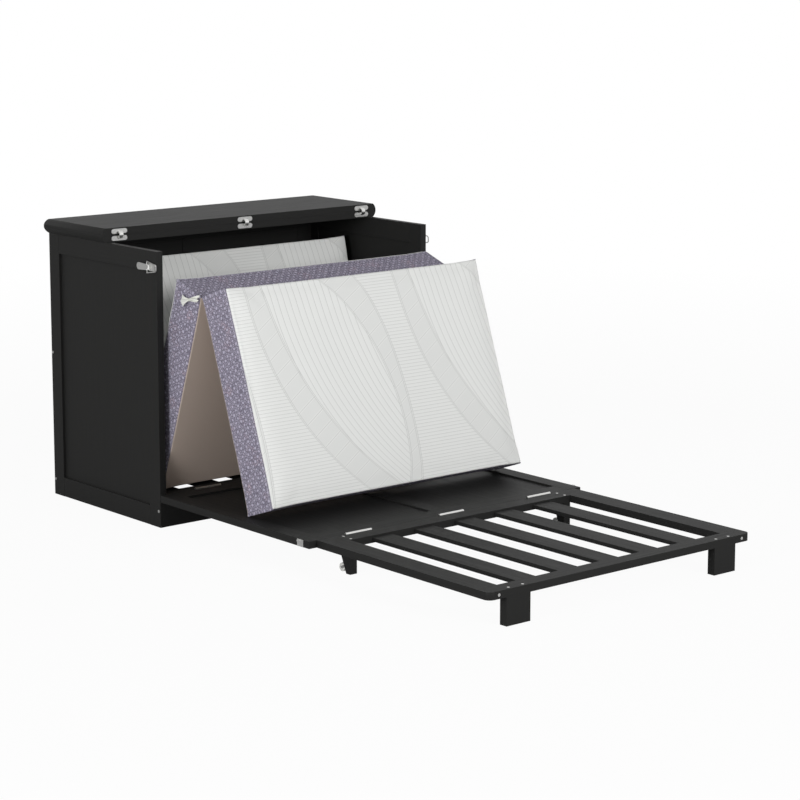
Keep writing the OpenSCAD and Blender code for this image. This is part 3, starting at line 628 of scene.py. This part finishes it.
colour = add(tree, "MixRGB", sewn, colour, linear(STITCH))
height = add(tree, "Math", net, -0.6, sewn, operation="MULTIPLY_ADD")
relief = add(tree, "Bump", inputs={"Strength": 0.4, "Distance": PRINT_RELIEF, "Height": height})
printed = add(tree, "BsdfPrincipled", colour,
              inputs={"Roughness": 0.88, "Specular IOR Level": 0.25, "Normal": relief})
add(tree, "OutputMaterial", printed)


def girth(point):
    """How far round the outline a point lies, from the middle of the right side."""
    side, end = SECTION_WIDTH / 2 - CORNER, SECTION_LENGTH / 2 - CORNER
    x, y = abs(point.x), abs(point.y - SECTION_LENGTH / 2)
    quarter = end + CORNER * math.pi / 2 + side
    run = y if y <= end else end + CORNER * math.atan2(y - end, max(x - side, 0.0)) + max(side - x, 0.0)
    ahead = point.y > SECTION_LENGTH / 2
    if point.x > 0:
        return run if ahead else 4 * quarter - run
    return 2 * quarter - run if ahead else 2 * quarter + run


for section in SECTIONS:
    band = bmesh.new()
    rim = cloth_panel(band, BORDER_LOW, SEAM_IN)
    roll_edge(band, rim, BORDER_FOOT + BORDER_SIDE + BORDER_HEAD)
    flat = band.loops.layers.uv.new("cloth")
    whole = 4 * (SECTION_WIDTH / 2 + SECTION_LENGTH / 2 - 2 * CORNER + CORNER * math.pi / 2)
    for face in band.faces:
        runs = [girth(loop.vert.co) for loop in face.loops]
        for loop, run in zip(face.loops, runs):
            loop[flat].uv = (run + (whole if max(runs) - run > whole / 2 else 0.0), loop.vert.co.z)
    border = sew_up(f"mattress_{section}_border", band, section, border_print, "border_cloth",
                    f"mattress_{section}_core")


# Base cloth: a plain beige non-woven cloth under each section, its edge turned up to the border.
# Deep in the tent it shows as a dull tan.
BEIGE = "#D2C4BA"
BEIGE_THREAD = "#C2B2A6"
WEAVE = 0.002
WEAVE_RELIEF = 0.0002
BASE_INSET = 0.0055
BASE_TURN = [(0.002, 0.0005), (0.0008, 0.0012), (-0.0013, 0.0012), (-0.006, 0.0)]

base_cloth, tree = new_material("beige_nonwoven_cloth")
flat = add(tree, "SeparateXYZ", add(tree, "UVMap", uv_map="cloth"))
weft = add(tree, "Math", flat.outputs["X"], WEAVE / 2, operation="PINGPONG")
warp = add(tree, "Math", flat.outputs["Y"], WEAVE / 2, operation="PINGPONG")
thread = add(tree, "Math", weft, warp, operation="MINIMUM")
thread = add(tree, "MapRange", thread, 0.0, WEAVE / 2, 1.0, 0.0)
colour = add(tree, "MixRGB", thread, linear(BEIGE), linear(BEIGE_THREAD))
relief = add(tree, "Bump", inputs={"Strength": 0.3, "Distance": WEAVE_RELIEF, "Height": thread})
plain = add(tree, "BsdfPrincipled", colour,
            inputs={"Roughness": 0.95, "Specular IOR Level": 0.2, "Normal": relief})
add(tree, "OutputMaterial", plain)

for section in SECTIONS:
    under = bmesh.new()
    rim = cloth_panel(under, 0.0, BASE_INSET)
    roll_edge(under, rim, BASE_TURN)
    flat = under.loops.layers.uv.new("cloth")
    for face in under.faces:
        for loop in face.loops:
            loop[flat].uv = loop.vert.co.xy
    cloth = sew_up(f"mattress_{section}_underside", under, section, base_cloth, "base_cloth",
                   f"mattress_{section}_base")


# Fold seams: two rolls of border cloth sewn along the sections' edges, on which they fold: one
# at the top of the tent, between the undersides, and one low at the back, between the tops.
SEAM_ROLL = 0.0037
SEAM_PARTS = 66
GATHER = 0.0004
GATHER_SPAN = 0.03
GATHER_ROUND = 0.005

for name, place in (("apex", apex), ("rear", rear_hinge)):
    seam = bmesh.new()
    reach = SECTION_WIDTH / 2 - CORNER
    bmesh.ops.create_circle(seam, cap_ends=True, segments=12, radius=SEAM_ROLL)
    bmesh.ops.rotate(seam, verts=seam.verts, matrix=Matrix.Rotation(math.pi / 2, 3, "Y"))
    bmesh.ops.translate(seam, verts=seam.verts, vec=place - Vector((reach, 0.0, 0.0)))
    ends = seam.faces[:]
    for step in range(SEAM_PARTS):
        made = bmesh.ops.extrude_face_region(seam, geom=ends)["geom"]
        bmesh.ops.translate(seam, verts=[g for g in made if isinstance(g, bmesh.types.BMVert)],
                            vec=(reach * 2 / SEAM_PARTS, 0.0, 0.0))
        bmesh.ops.delete(seam, geom=ends if step else [], context="FACES_ONLY")
        ends = [g for g in made if isinstance(g, bmesh.types.BMFace)]
    flat = seam.loops.layers.uv.new("cloth")
    for v in seam.verts:
        out = v.co - Vector((v.co.x, place.y, place.z))
        fold = Vector((v.co.x / GATHER_SPAN, place.y, out.y / GATHER_ROUND))
        v.co += out.normalized() * GATHER * noise.noise(fold)
    for face in seam.faces:
        face.smooth = True
        for loop in face.loops:
            loop[flat].uv = (loop.vert.co.x, loop.vert.co.z)
    bmesh.ops.recalc_face_normals(seam, faces=seam.faces)
    data = bpy.data.meshes.new(f"mattress_{name}_fold_seam")
    seam.to_mesh(data)
    seam.free()
    data.materials.append(border_print)
    roll = bpy.data.objects.new(data.name, data)
    bpy.context.scene.collection.objects.link(roll)
    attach(roll, "middle_section")
    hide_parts("mattress_fold_seams")
    fold_away(roll)


# Tag: a short white satin ribbon with a faint sheen, bare, sewn in at the fold and tied once, so
# that it is gathered at the tie and fans out to a pointed end on the middle section's left side.
RIBBON = "#E9EAE4"
TAG_FLAT = (0.036, 0.086)
TAG_THICK = 0.0006
TAG_WAY = [Vector((0.0075, 0.002)), Vector((0.0255, 0.0345)), Vector((0.049, 0.076))]
TAG_WIDTHS = [0.020, 0.0085, 0.036]
TAG_TIE = 0.42
TAG_POINT = 0.012
TAG_POINT_START = 0.6
TAG_STAND = 0.0015
TAG_PLEAT = 0.0042
TAG_CURL = 0.002
SATIN_THREAD = 0.0009
SATIN_RELIEF = 0.0002

satin, tree = new_material("white_satin_ribbon")
flat = add(tree, "SeparateXYZ", add(tree, "UVMap", uv_map="cloth"))
thread = add(tree, "Math", flat.outputs["X"], SATIN_THREAD / 2, operation="PINGPONG")
relief = add(tree, "Bump", inputs={"Strength": 0.2, "Distance": SATIN_RELIEF, "Height": thread})
ribbon = add(tree, "BsdfPrincipled",
             inputs={"Base Color": linear(RIBBON), "Roughness": 0.5, "Normal": relief,
                     "Sheen Weight": 0.2, "Sheen Roughness": 0.4})
add(tree, "OutputMaterial", ribbon)

strip = bmesh.new()
bmesh.ops.create_grid(strip, x_segments=20, y_segments=36, size=0.5)
flat = strip.loops.layers.uv.new("cloth")
for face in strip.faces:
    face.smooth = True
    for loop in face.loops:
        loop[flat].uv = (loop.vert.co.x * TAG_FLAT[0], loop.vert.co.y * TAG_FLAT[1])
for v in strip.verts:
    side, share = v.co.x, v.co.y + 0.5
    part = share / TAG_TIE if share < TAG_TIE else (share - TAG_TIE) / (1 - TAG_TIE)
    ends = (0, 1) if share < TAG_TIE else (1, 2)
    centre = TAG_WAY[ends[0]].lerp(TAG_WAY[ends[1]], part)
    ease = part * part * (3 - 2 * part)
    width = TAG_WIDTHS[ends[0]] + (TAG_WIDTHS[ends[1]] - TAG_WIDTHS[ends[0]]) * ease
    way = (TAG_WAY[2] - TAG_WAY[0]).normalized()
    spread = centre + Vector((way.y, -way.x)) * side * width
    if share >= TAG_TIE:
        spread += way * max(0.0, part - TAG_POINT_START) * TAG_POINT * (1 - abs(side) * 4)
    slack = math.sqrt(max(0.0, 1 - (width / TAG_FLAT[0]) ** 2))
    pleat = TAG_PLEAT * slack * (1 + math.cos(side * 4 * math.pi))
    curl = TAG_CURL * share * (1 + math.sin(side * 5))
    short = min(CORNER, max(0.0, CORNER - spread.x))
    tuck = CORNER - math.sqrt(CORNER ** 2 - short ** 2)
    v.co = (tuck - SECTION_WIDTH / 2 - TAG_STAND - pleat - curl, spread.x, spread.y)
bmesh.ops.recalc_face_normals(strip, faces=strip.faces)
strip.transform(SECTIONS["middle"])
data = bpy.data.meshes.new("mattress_ribbon_tag")
strip.to_mesh(data)
strip.free()
data.materials.append(satin)
tag = bpy.data.objects.new(data.name, data)
bpy.context.scene.collection.objects.link(tag)
stiff = tag.modifiers.new("ribbon_thickness", "SOLIDIFY")
stiff.thickness = TAG_THICK
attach(tag, "middle_section")
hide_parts("mattress_tag")
fold_away(tag)
